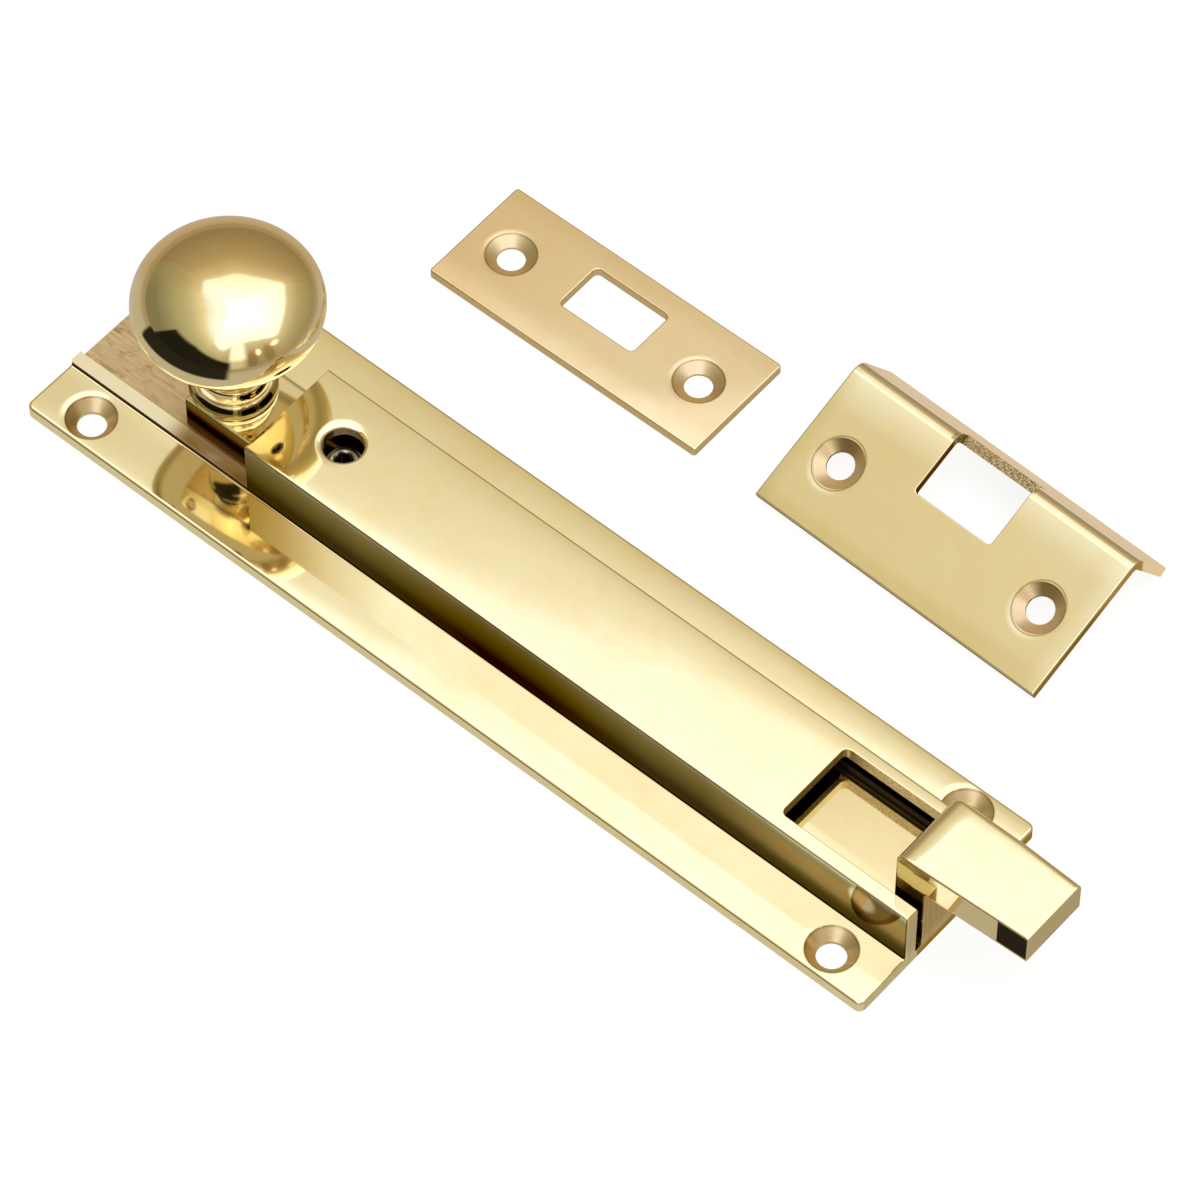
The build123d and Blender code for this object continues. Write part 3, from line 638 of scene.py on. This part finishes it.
def housing_cuts(metal):
    """Granular faces of the window and the stop screw's hole, and painted shade in the channel
    inside.
    """
    x, y, z = metal.x, metal.y, metal.z
    face_x, face_y, face_z = metal.facing
    grain = noise(metal.point, scale=5200.0, detail=3.0, rough=0.7)
    window = (x.ease(start=0.0515, end=0.0517)
              * y.within(low=-0.0086, high=0.0079, soft=0.0001)
              * (z.ease(start=0.0097, end=0.0100) * face_z.ease(start=0.6, end=0.3))
              * x.ease(start=0.0759, end=0.0757))
    dist = metal.radial(STOP_AXIS)[2]
    hole = dist.ease(start=0.00325, end=0.0031) * face_z.ease(start=0.75, end=0.4)
    cut = calc("MAXIMUM", window, hole)
    metal.patch(cut, grain.ramp(CUT_COLORS), rough=0.5)
    metal.add_bump(grain * cut, 0.00005)
    # the window's end face: painted shade in darker grain colours for the camera, and turned up
    # a little
    end_cut = window * face_x.ease(start=0.5, end=0.9) * metal.camera
    metal.patch(end_cut, grain.ramp(END_CUT_SHADE_COLORS), rough=0.6)
    metal.add_tilt(0.0, 0.0, end_cut * 0.8)
    # painted shade in the channel's inside: dark, lighter tan low down under the window; for
    # the camera, darkest high on the faces towards the front
    inside = (z.within(low=0.0016, high=0.0103, soft=0.0001)
              * y.within(low=-0.0074, high=0.0068, soft=0.0001)
              * face_z.ease(start=0.9, end=0.5) * x.ease(start=0.0757, end=0.0755)
              * z.ease(start=0.0100, end=0.0097))
    low = z.ease(start=0.0082, end=0.0077) * x.ease(start=0.0525, end=0.0535)
    metal.patch(inside, mix(low, (.035, .018, .005), (.13, .095, .045)),
                rough=0.65, amount=0.97)
    deep_shade = inside * z.ease(start=0.0082, end=0.0086) * face_y.ease(start=-0.5, end=-0.9)
    metal.shade(deep_shade * metal.camera, (.06, .05, .04))


def housing_metal():
    metal = Metal("housing_brass_look", GOLD, rough=0.055, rough_var=0.025, wave=0.75,
                  lines=0.22)
    face_x, _, face_z = metal.facing
    housing_crown(metal)
    metal.countersinks(
        HOUSING_HOLES, face_z, edge=0.00372, seat=0.00362,
        colors=((0.80, 0.64, 0.38), (0.62, 0.48, 0.28)), rim_tint=(.42, .34, .20),
        rim_amount=0.75, grain_at=(metal.x, metal.y), width=0.0013)
    metal.ring(STOP_AXIS, STOP_HOLE, width=0.0017, degrees=9.0, spread=0.55)
    housing_wall(metal)
    housing_track(metal)
    housing_cuts(metal)
    # bolt-end faces: milled, a little duller
    end = face_x.ease(start=0.9, end=0.97)
    marks = milled(metal)
    metal.patch(end, mix(marks, (.86, .80, .60), (.70, .62, .42)), rough=0.24)
    metal.add_bump(marks * end, 0.00001)
    # painted shade for the camera on the bolt-end faces behind the front wall, darker higher up
    front = end * metal.y.ease(start=-0.0070, end=-0.0066) * metal.camera
    metal.shade(front, mix(metal.z.ease(start=0.003, end=0.0105), (.66, .54, .32),
                           (.38, .29, .13)))
    return metal.done()


# ------------------------------------------------------------------ bolt bar
# Share of the bar's height, painted shade on its sides, darkest across the middle
BAR_SIDE_SHADE = [
    (0.0, (.46, .36, .30)), (.22, (.40, .29, .22)), (.36, (.07, .035, .03)),
    (.58, (.08, .04, .025)), (.74, (.24, .195, .15)), (1.0, (.34, .29, .22))]


def bolt_metal():
    metal = Metal("bolt_brass_look", GOLD, rough=0.055, rough_var=0.025, wave=0.75,
                  lines=0.22)
    metal.normal = add_value(metal.tree, "ShaderNodeBevel", {"Radius": 0.00055}, samples=8)
    x, y, z, camera = metal.x, metal.y, metal.z, metal.camera
    face_x, face_y, face_z = metal.facing
    up = face_z.ease(start=0.9, end=0.96)
    # the raised head is rounded off towards its back end (-X) and its long edges
    head = z.ease(start=0.017, end=0.018)
    lean_x = x.ease(start=0.0752, end=0.0712) * -math.tan(6.0 * DEG)
    head_y = (y.ease(start=0.0025, end=0.0062, to=(0.0, 1.1 * DEG))
              + y.ease(start=-0.0020, end=-0.0058, to=(0.0, -0.6 * DEG)))
    bar_y = y.ease(start=-0.0042, end=-0.0034, to=(-0.5 * DEG, 0.85 * DEG))
    metal.add_tilt(lean_x * head * up, mix_number(head, bar_y, head_y) * up, 0.0)
    # end faces: milled
    marks = milled(metal)
    end = face_x.ease(start=0.9, end=0.97) * x.ease(start=0.0765, end=0.0762)
    metal.patch(end, mix(marks, (.80, .68, .44), (.60, .47, .27)), rough=0.26)
    tip = face_x.ease(start=0.9, end=0.97) * x.ease(start=0.080, end=0.085)
    metal.patch(tip, mix(marks, (.88, .80, .58), (.78, .70, .50)), rough=0.16)
    # painted shade on the top of the bar, low inside the window, for the camera
    well_shade = up * z.ease(start=0.0100, end=0.0090) * x.ease(start=0.050, end=0.051)
    metal.shade(well_shade * camera, (.90, .85, .74))
    # sides of the bar: dull, and painted shade on them for the camera
    side = abs(face_y).ease(start=0.85, end=0.95) * z.ease(start=0.0079, end=0.0073)
    metal.patch(side, (.58, .44, .24), rough=0.26, amount=0.9)
    metal.tone(side * camera, z.linear(start=0.0016, end=0.0074).ramp(BAR_SIDE_SHADE))
    # painted shade on the front of the riser, for the camera, darkest low down
    riser = face_y.ease(start=-0.8, end=-0.93) * (
        x.ease(start=0.0782, end=0.0768) * z.ease(start=0.0078, end=0.0082))
    metal.shade(riser * camera, mix(z.ease(start=0.010, end=0.0165), (.30, .24, .12),
                                    (.66, .58, .36)))
    # the head's front side near its tip is dressed back a little
    dressed = face_y.ease(start=-0.8, end=-0.93) * (
        x.ease(start=0.08760, end=0.08775) * z.ease(start=0.0143, end=0.0146))
    metal.add_tilt(dressed * 0.143, 0.0, dressed * 0.586)
    return metal.done()


# ------------------------------------------------------------------ knob and collar metal
def turned_metal(name, lean):
    """Turned brass whose normals lean towards -X by some degrees, and the axis distance."""
    metal = Metal(name, GOLD, rough=0.055, rough_var=0.02, wave=0.10, lines=0.15,
                  grain=NO_GRAIN, drift=0.15)
    cosine, sine = math.cos(lean * DEG), math.sin(lean * DEG)
    face_x, face_y, face_z = metal.facing
    metal.normal = combine(face_x * cosine - face_z * sine, face_y,
                           face_x * sine + face_z * cosine)
    dist = metal.radial(KNOB_AXIS)[2]
    rings = noise(combine(dist * 5000.0, metal.z * 5000.0, 0.0), detail=2.0, rough=0.5)
    metal.add_bump(rings, 0.0000012)
    return metal, dist


def knob_metal():
    metal, _ = turned_metal("knob_brass_look", lean=4.4)
    # painted reflection tint for the camera: the back left of the crown warmer and a little
    # darker
    crown = metal.toward((-0.536, 0.627, 0.565))
    metal.shade(crown.ease(start=0.26, end=0.60) * metal.camera, (.99, .90, .79))
    return metal.done()


def collar_metal():
    metal, dist = turned_metal("collar_brass_look", lean=1.0)
    # painted shade on the collar's steep outer faces, for the camera
    steep = metal.facing[2].ease(start=0.72, end=0.50) * dist.ease(start=0.0050, end=0.0055)
    metal.tone(steep * metal.camera, (.42, .365, .215))
    return metal.done()


# ------------------------------------------------------------------ turned shapes (mm)
def ring_mesh(name, center, rings, segments, first=None, last=None, sharp=32.0):
    """Closed skin through rings of (radius or function of angle, height). first and last
    are the heights of the end caps' centres; without them the skin joins up with itself."""
    bm = bmesh.new()
    rows = []
    for radius_at, z in rings:
        row = []
        for k in range(segments):
            angle = 2 * math.pi * k / segments
            radius = radius_at(angle) if callable(radius_at) else radius_at
            row.append(bm.verts.new(((center[0] + radius * math.cos(angle)) * MM,
                                     (center[1] + radius * math.sin(angle)) * MM, z * MM)))
        rows.append(row)
    for low, high in zip(rows, rows[1:]):
        for k in range(segments):
            j = (k + 1) % segments
            bm.faces.new((low[k], low[j], high[j], high[k]))
    for row, cap_z in ((rows[0], first), (rows[-1], last)):
        if cap_z is None:
            continue
        middle = bm.verts.new((center[0] * MM, center[1] * MM, cap_z * MM))
        for k in range(segments):
            bm.faces.new((row[k], row[(k + 1) % segments], middle))
    if first is None and last is None:
        for k in range(segments):
            j = (k + 1) % segments
            bm.faces.new((rows[-1][k], rows[-1][j], rows[0][j], rows[0][k]))
    bmesh.ops.recalc_face_normals(bm, faces=bm.faces)
    for face in bm.faces:
        face.smooth = True
    for edge in bm.edges:
        if len(edge.link_faces) == 2 and edge.calc_face_angle(0.0) > sharp * DEG:
            edge.smooth = False
    return object_from(bm, name)


def hermite(start, start_slope, end, end_slope, steps):
    """Points after start on a smooth curve to end."""
    points = []
    for i in range(1, steps + 1):
        t = i / steps
        weights = (2 * t ** 3 - 3 * t ** 2 + 1, t ** 3 - 2 * t ** 2 + t,
                   -2 * t ** 3 + 3 * t ** 2, t ** 3 - t ** 2)
        points.append(tuple(
            weights[0] * start[k] + weights[1] * start_slope[k]
            + weights[2] * end[k] + weights[3] * end_slope[k] for k in (0, 1)))
    return points


def make_knob():
    radius, equator, dome, under = 13.65, 26.4, 8.9, 8.0
    neck, foot, foot_top, bulge = 4.2, 5.1, 12.45, 0.5
    profile = []
    for i in range(1, 61):
        angle = math.pi / 2 * (1 - i / 60)
        profile.append((radius * math.cos(angle), equator + dome * math.sin(angle)))
    under_end = math.acos(4.3 / radius)
    for i in range(1, 41):
        angle = -under_end * i / 40
        profile.append((radius * math.cos(angle) ** 0.94, equator + under * math.sin(angle)))
    # neck, narrowest at the waist
    waist = (3.9, (11.05 + profile[-1][1]) / 2 + 0.3)
    profile += hermite(profile[-1], (-1.9, -2.2), waist, (0.0, -3.0), 14)
    profile += hermite(waist, (0.0, -3.0), (neck, 13.3), (0.5, -1.4), 8)
    profile += hermite((neck, 13.3), (0.4, -0.9), (foot, foot_top), (0.9, -0.2), 8)
    # foot ring: a full, slightly barrelled band
    foot_mid, foot_half = (foot_top + COLLAR_TOP) / 2, (foot_top - COLLAR_TOP) / 2
    for i in range(1, 25):
        angle = math.pi / 2 - math.pi * i / 24
        profile.append((foot + bulge * max(math.cos(angle), 0.0) ** 0.7,
                        foot_mid + foot_half * math.sin(angle)))
    # underside and bore
    profile += [(neck, COLLAR_TOP), (2.56, COLLAR_TOP), (2.53, COLLAR_TOP + 0.03),
                (2.53, 18.7), (1.2, 19.15)]
    return ring_mesh("knob_turned", (KNOB_X, KNOB_Y), profile, 256,
                     first=equator + dome, last=19.5, sharp=40)


def make_collar():
    radius, bore, corner = 6.35, 2.6, 0.35
    profile = [(bore, BAR_TOP), (radius - corner, BAR_TOP)]
    for i in range(1, 7):
        angle = -math.pi / 2 + math.pi / 2 * i / 6
        profile.append((radius - corner + corner * math.cos(angle),
                        BAR_TOP + corner + corner * math.sin(angle)))
    shoulder = (radius, BAR_TOP + 0.95)
    profile += [shoulder]
    profile += hermite(shoulder, (0.0, 1.0), (5.6, COLLAR_TOP), (-0.9, 0.55), 12)
    profile += [(5.2, COLLAR_TOP - 0.02), (bore + 0.05, COLLAR_TOP - 0.02),
                (bore, COLLAR_TOP - 0.07)]
    return ring_mesh("collar_turned", (KNOB_X, KNOB_Y), profile, 224, sharp=40)


THREAD_RADIUS, THREAD_DEPTH, THREAD_PITCH = 2.5, 0.42, 0.8
THREAD_FADE = 0.8    # length over which the groove fades in and out
RINGS_PER_PITCH = 10


def thread(z_from, z_to):
    """Rings that follow one helical groove."""
    def groove(z, fade):
        def radius_at(angle):
            phase = (z / THREAD_PITCH - angle / (2 * math.pi)) % 1.0
            crest = min(max((abs(2 * phase - 1) - 0.12) / 0.76, 0.0), 1.0)
            return (THREAD_RADIUS - THREAD_DEPTH * fade * (1 - crest)
                    - THREAD_DEPTH * 0.5 * (1 - fade))
        return radius_at

    count = int(abs(z_to - z_from) / THREAD_PITCH * RINGS_PER_PITCH)
    rings = []
    for i in range(count + 1):
        z = z_from + (z_to - z_from) * i / count
        fade = min(1.0, abs(z - z_from) / THREAD_FADE, abs(z - z_to) / THREAD_FADE)
        rings.append((groove(z, fade), z))
    return rings


def make_stop_screw():
    """Headless screw with a hexagon socket."""
    def hexagon(flat):
        def radius_at(angle):
            return flat / math.cos((angle + math.pi / 6) % (math.pi / 3) - math.pi / 6)
        return radius_at
    top = 8.5
    rings = [(hexagon(0.75), 5.72), (hexagon(1.18), 5.88), (hexagon(1.25), 5.98),
             (hexagon(1.25), top - 0.33), (hexagon(1.27), top - 0.28),
             (1.56, top - 0.05), (1.62, top), (2.05, top), (2.12, top - 0.03)]
    rings += thread(top - 0.12, 2.05)
    rings += [(1.78, 1.98), (1.75, 1.92), (1.75, 0.62), (1.72, 0.55), (1.5, 0.35), (1.0, 0.35)]
    return ring_mesh("stop_screw_cut", (STOP_X, STOP_Y), rings, 96,
                     first=5.45, last=0.35, sharp=28)


def make_knob_screw():
    """Screw from below into the knob, with a cross recess in its head."""
    def cross(length, half_width):
        def radius_at(angle):
            turn = (angle + math.pi / 4) % (math.pi / 2) - math.pi / 4
            return min(length / math.cos(turn), half_width / max(abs(math.sin(turn)), 1e-3))
        return radius_at
    face = 1.65    # height of the head's face
    rings = [(cross(0.9, 0.28), 3.2), (cross(1.6, 0.38), 2.9), (cross(2.25, 0.48), face + 0.05),
             (cross(2.3, 0.52), face), (4.2, face), (4.5, face + 0.03), (4.6, face + 0.12),
             (4.57, face + 0.22), (2.62, 3.7), (2.5, 3.85)]
    rings += thread(4.2, 17.0)
    rings += [(2.0, 17.3), (1.2, 17.3)]
    return ring_mesh("knob_screw_cut", (KNOB_X, KNOB_Y), rings, 96,
                     first=3.35, last=17.3, sharp=28)


# ------------------------------------------------------------------ small parts' metal
STEEL = (0.60, 0.58, 0.54)


def plain_metal(name, base, rough):
    return Metal(name, base, rough, rough_var=0.10, wave=0.3, lines=1.0, grain=NO_GRAIN,
                 drift=0.6)


def knob_screw_metal():
    return plain_metal("screw_steel_look", STEEL, rough=0.3).done()


def stop_screw_metal():
    metal = plain_metal("socket_steel_look", STEEL, rough=0.24)
    dist = metal.radial(STOP_AXIS)[2]
    # painted shade in the hexagon socket
    socket = dist.ease(start=0.00145, end=0.00132) * metal.z.ease(start=0.00848, end=0.00820)
    metal.patch(socket, (.07, .055, .045), rough=0.5)
    lip = dist.ease(start=0.00195, end=0.00212) * metal.z.ease(start=0.0070, end=0.0075)
    metal.patch(lip, (.30, .25, .20), rough=0.3, amount=0.8)
    return metal.done()


# ------------------------------------------------------------------ keeps
MORTICE_HOLES = [(-0.04167, 0.04605), (-0.00687, 0.04629)]
MORTICE_FACE = (0.0, 0.0, 1.0)    # normal of the plate
RIM_HOLES = [(0.05523, 0.04502), (0.01885, 0.04598)]
RIM_FACE = (-0.0100175, -0.3825523, 0.9238795)
# Noise value, colour of the cut through the bend
BEND_CUT_COLORS = [(.38, (.17, .11, .04)), (.5, (.38, .28, .13)), (.66, (.74, .62, .36))]


def keep_metal(name, base, drag, holes, face):
    """The metal, a mask for the sheared edges, and a grain for them."""
    metal = Metal(name, base, rough=0.17, rough_var=0.05, wave=0.8, lines=1.4, drift=0.5)
    flat = metal.toward(face)
    metal.countersinks(
        holes, flat, edge=0.00378, seat=0.00366,
        colors=((0.84, 0.68, 0.42), (0.66, 0.50, 0.30)), rim_tint=(.42, .33, .19),
        rim_amount=0.7, width=0.0010, drag=drag, spread=0.30)
    edge = abs(flat).ease(start=0.55, end=0.3)
    return metal, edge, noise(metal.point, scale=4200.0, detail=3.0, rough=0.7)


def mortice_metal():
    metal, edge, grain = keep_metal("mortice_keep_brass_look", (0.868, 0.700, 0.430),
                                    (-1.0, 0.0), MORTICE_HOLES, MORTICE_FACE)
    x, y = metal.x, metal.y
    top = metal.facing[2].ease(start=0.93, end=0.97)
    metal.shade(x.ease(start=-0.0200, end=-0.0480) * top * 0.8, (.94, .88, .80))
    # the front strip and the front right corner lean forwards, the far strip backwards
    lean = (y.ease(start=0.0415, end=0.0368, to=(0.0, -1.6 * DEG))
            + y.ease(start=0.0520, end=0.0556, to=(0.0, 0.8 * DEG)))
    corner = (x - y).ease(start=-0.0545, end=-0.0440, to=(0.0, -1.6 * DEG))
    metal.add_tilt(0.0, (lean + corner) * top, 0.0)
    metal.patch(edge, mix(grain, (.74, .58, .36), (.60, .45, .26)), rough=0.34, amount=0.8)
    return metal.done()


def rim_metal():
    metal, edge, grain = keep_metal("rim_keep_brass_look", (0.95, 0.82, 0.55),
                                    (0.0, -1.0), RIM_HOLES, RIM_FACE)
    x, y, z, camera = metal.x, metal.y, metal.z, metal.camera
    face_x, face_y, _ = metal.facing
    face = metal.toward(RIM_FACE).ease(start=0.93, end=0.97)
    # the face leans back before the fold, and falls away along the other edges
    lean_y = (y.linear(start=0.0518, end=0.0575) * (5.5 * DEG)
              + y.ease(start=0.0395, end=0.0370, to=(0.0, -2.0 * DEG)))
    lean_x = (x.ease(start=0.0145, end=0.0120, to=(0.0, -2.0 * DEG))
              + x.ease(start=0.0590, end=0.0620, to=(0.0, 2.0 * DEG)))
    metal.add_tilt(lean_x * face, lean_y * face, 0.0)
    metal.patch(edge, mix(grain, (.80, .66, .40), (.66, .52, .30)), rough=0.30, amount=0.7)
    # painted shade: the whole face a little darker for the camera
    metal.shade(face * camera, (.85, .86, .77))
    # painted reflection: the folded lip's outside painted pale for the camera; painted shade on
    # the front and side edges, darkest on every side edge but the right-hand end
    lip_sheen = face_y.ease(start=0.42, end=0.60) * (1.0 - edge)
    metal.patch(lip_sheen * camera, (1.0, .98, .92), amount=0.85)
    front = face_y.ease(start=-0.6, end=-0.8) * edge
    metal.shade(front * camera, (.42, .36, .22))
    sides = abs(face_x).ease(start=0.6, end=0.8) * (edge * y.ease(start=0.0588, end=0.0580))
    metal.shade(sides * camera, mix(x.ease(start=0.055, end=0.058), (.24, .19, .09),
                                    (.58, .52, .36)))
    # granular cut through the bend
    inner = z.ease(start=0.0104, end=0.0098) * 1.0
    cut = (x.within(low=0.0300, high=0.0449, soft=0.0002) * y.ease(start=0.0566, end=0.0572)
           * calc("MAXIMUM", edge, inner * face_y.ease(start=0.35, end=0.25))
           * face_y.ease(start=0.60, end=0.42))
    metal.patch(cut, grain.ramp(BEND_CUT_COLORS), rough=0.45)
    metal.add_bump(grain * cut, 0.00006)
    return metal.done()


# ------------------------------------------------------------------ dress the pieces
def assign(piece, material):
    piece.data.materials.clear()
    piece.data.materials.append(material)


assign(nodes["body"], housing_metal())
assign(nodes["bolt_bar"], bolt_metal())
# Builder, piece it replaces, body it moves with, material slot, metal
REBUILT = (
    (make_knob, "knob", "bolt", "knob_brass", knob_metal),
    (make_collar, "knob_collar", "bolt", "collar_brass", collar_metal),
    (make_knob_screw, "knob_screw", "bolt", "screw_steel", knob_screw_metal),
    (make_stop_screw, "stop_screw", "stop", "socket_steel", stop_screw_metal))
for build, replaced, body, slot, look in REBUILT:
    piece = build()
    piece.data.materials.append(look())
    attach(piece, body)
    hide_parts(replaced)
assign(nodes["friction_spring"],
       plain_metal("spring_bronze_look", (0.74, 0.50, 0.30), rough=0.28).done())
assign(nodes["spring_rivets"],
       plain_metal("rivet_brass_look", (0.84, 0.68, 0.38), rough=0.24).done())
assign(nodes["mortice_keep"], mortice_metal())
assign(nodes["rim_keep"], rim_metal())


# ------------------------------------------------------------------ camera
CAMERA_PLACE = (0.372371, -0.418885, 0.823668)
CAMERA_AZIMUTH = math.radians(40.519)    # from -Y towards +X
CAMERA_ELEVATION = math.radians(55.6153)


def make_camera():
    back = Vector((math.sin(CAMERA_AZIMUTH) * math.cos(CAMERA_ELEVATION),
                   -math.cos(CAMERA_AZIMUTH) * math.cos(CAMERA_ELEVATION),
                   math.sin(CAMERA_ELEVATION)))
    lens = bpy.data.cameras.new("camera")
    lens.sensor_fit = "HORIZONTAL"
    lens.sensor_width = 36.0
    lens.lens = 216.249
    lens.clip_start = 0.01
    lens.clip_end = 20.0
    camera = bpy.data.objects.new("camera", lens)
    scene.collection.objects.link(camera)
    right = (-back).cross(Vector((0, 0, 1))).normalized()
    up = right.cross(-back).normalized()
    rotation = Matrix((right, up, back)).transposed().to_4x4()
    camera.matrix_world = Matrix.Translation(Vector(CAMERA_PLACE)) @ rotation
    scene.camera = camera


make_camera()

scene.view_settings.view_transform = "Standard"
scene.view_settings.look = "None"
scene.view_settings.exposure = 0.0
scene.view_settings.gamma = 1.0
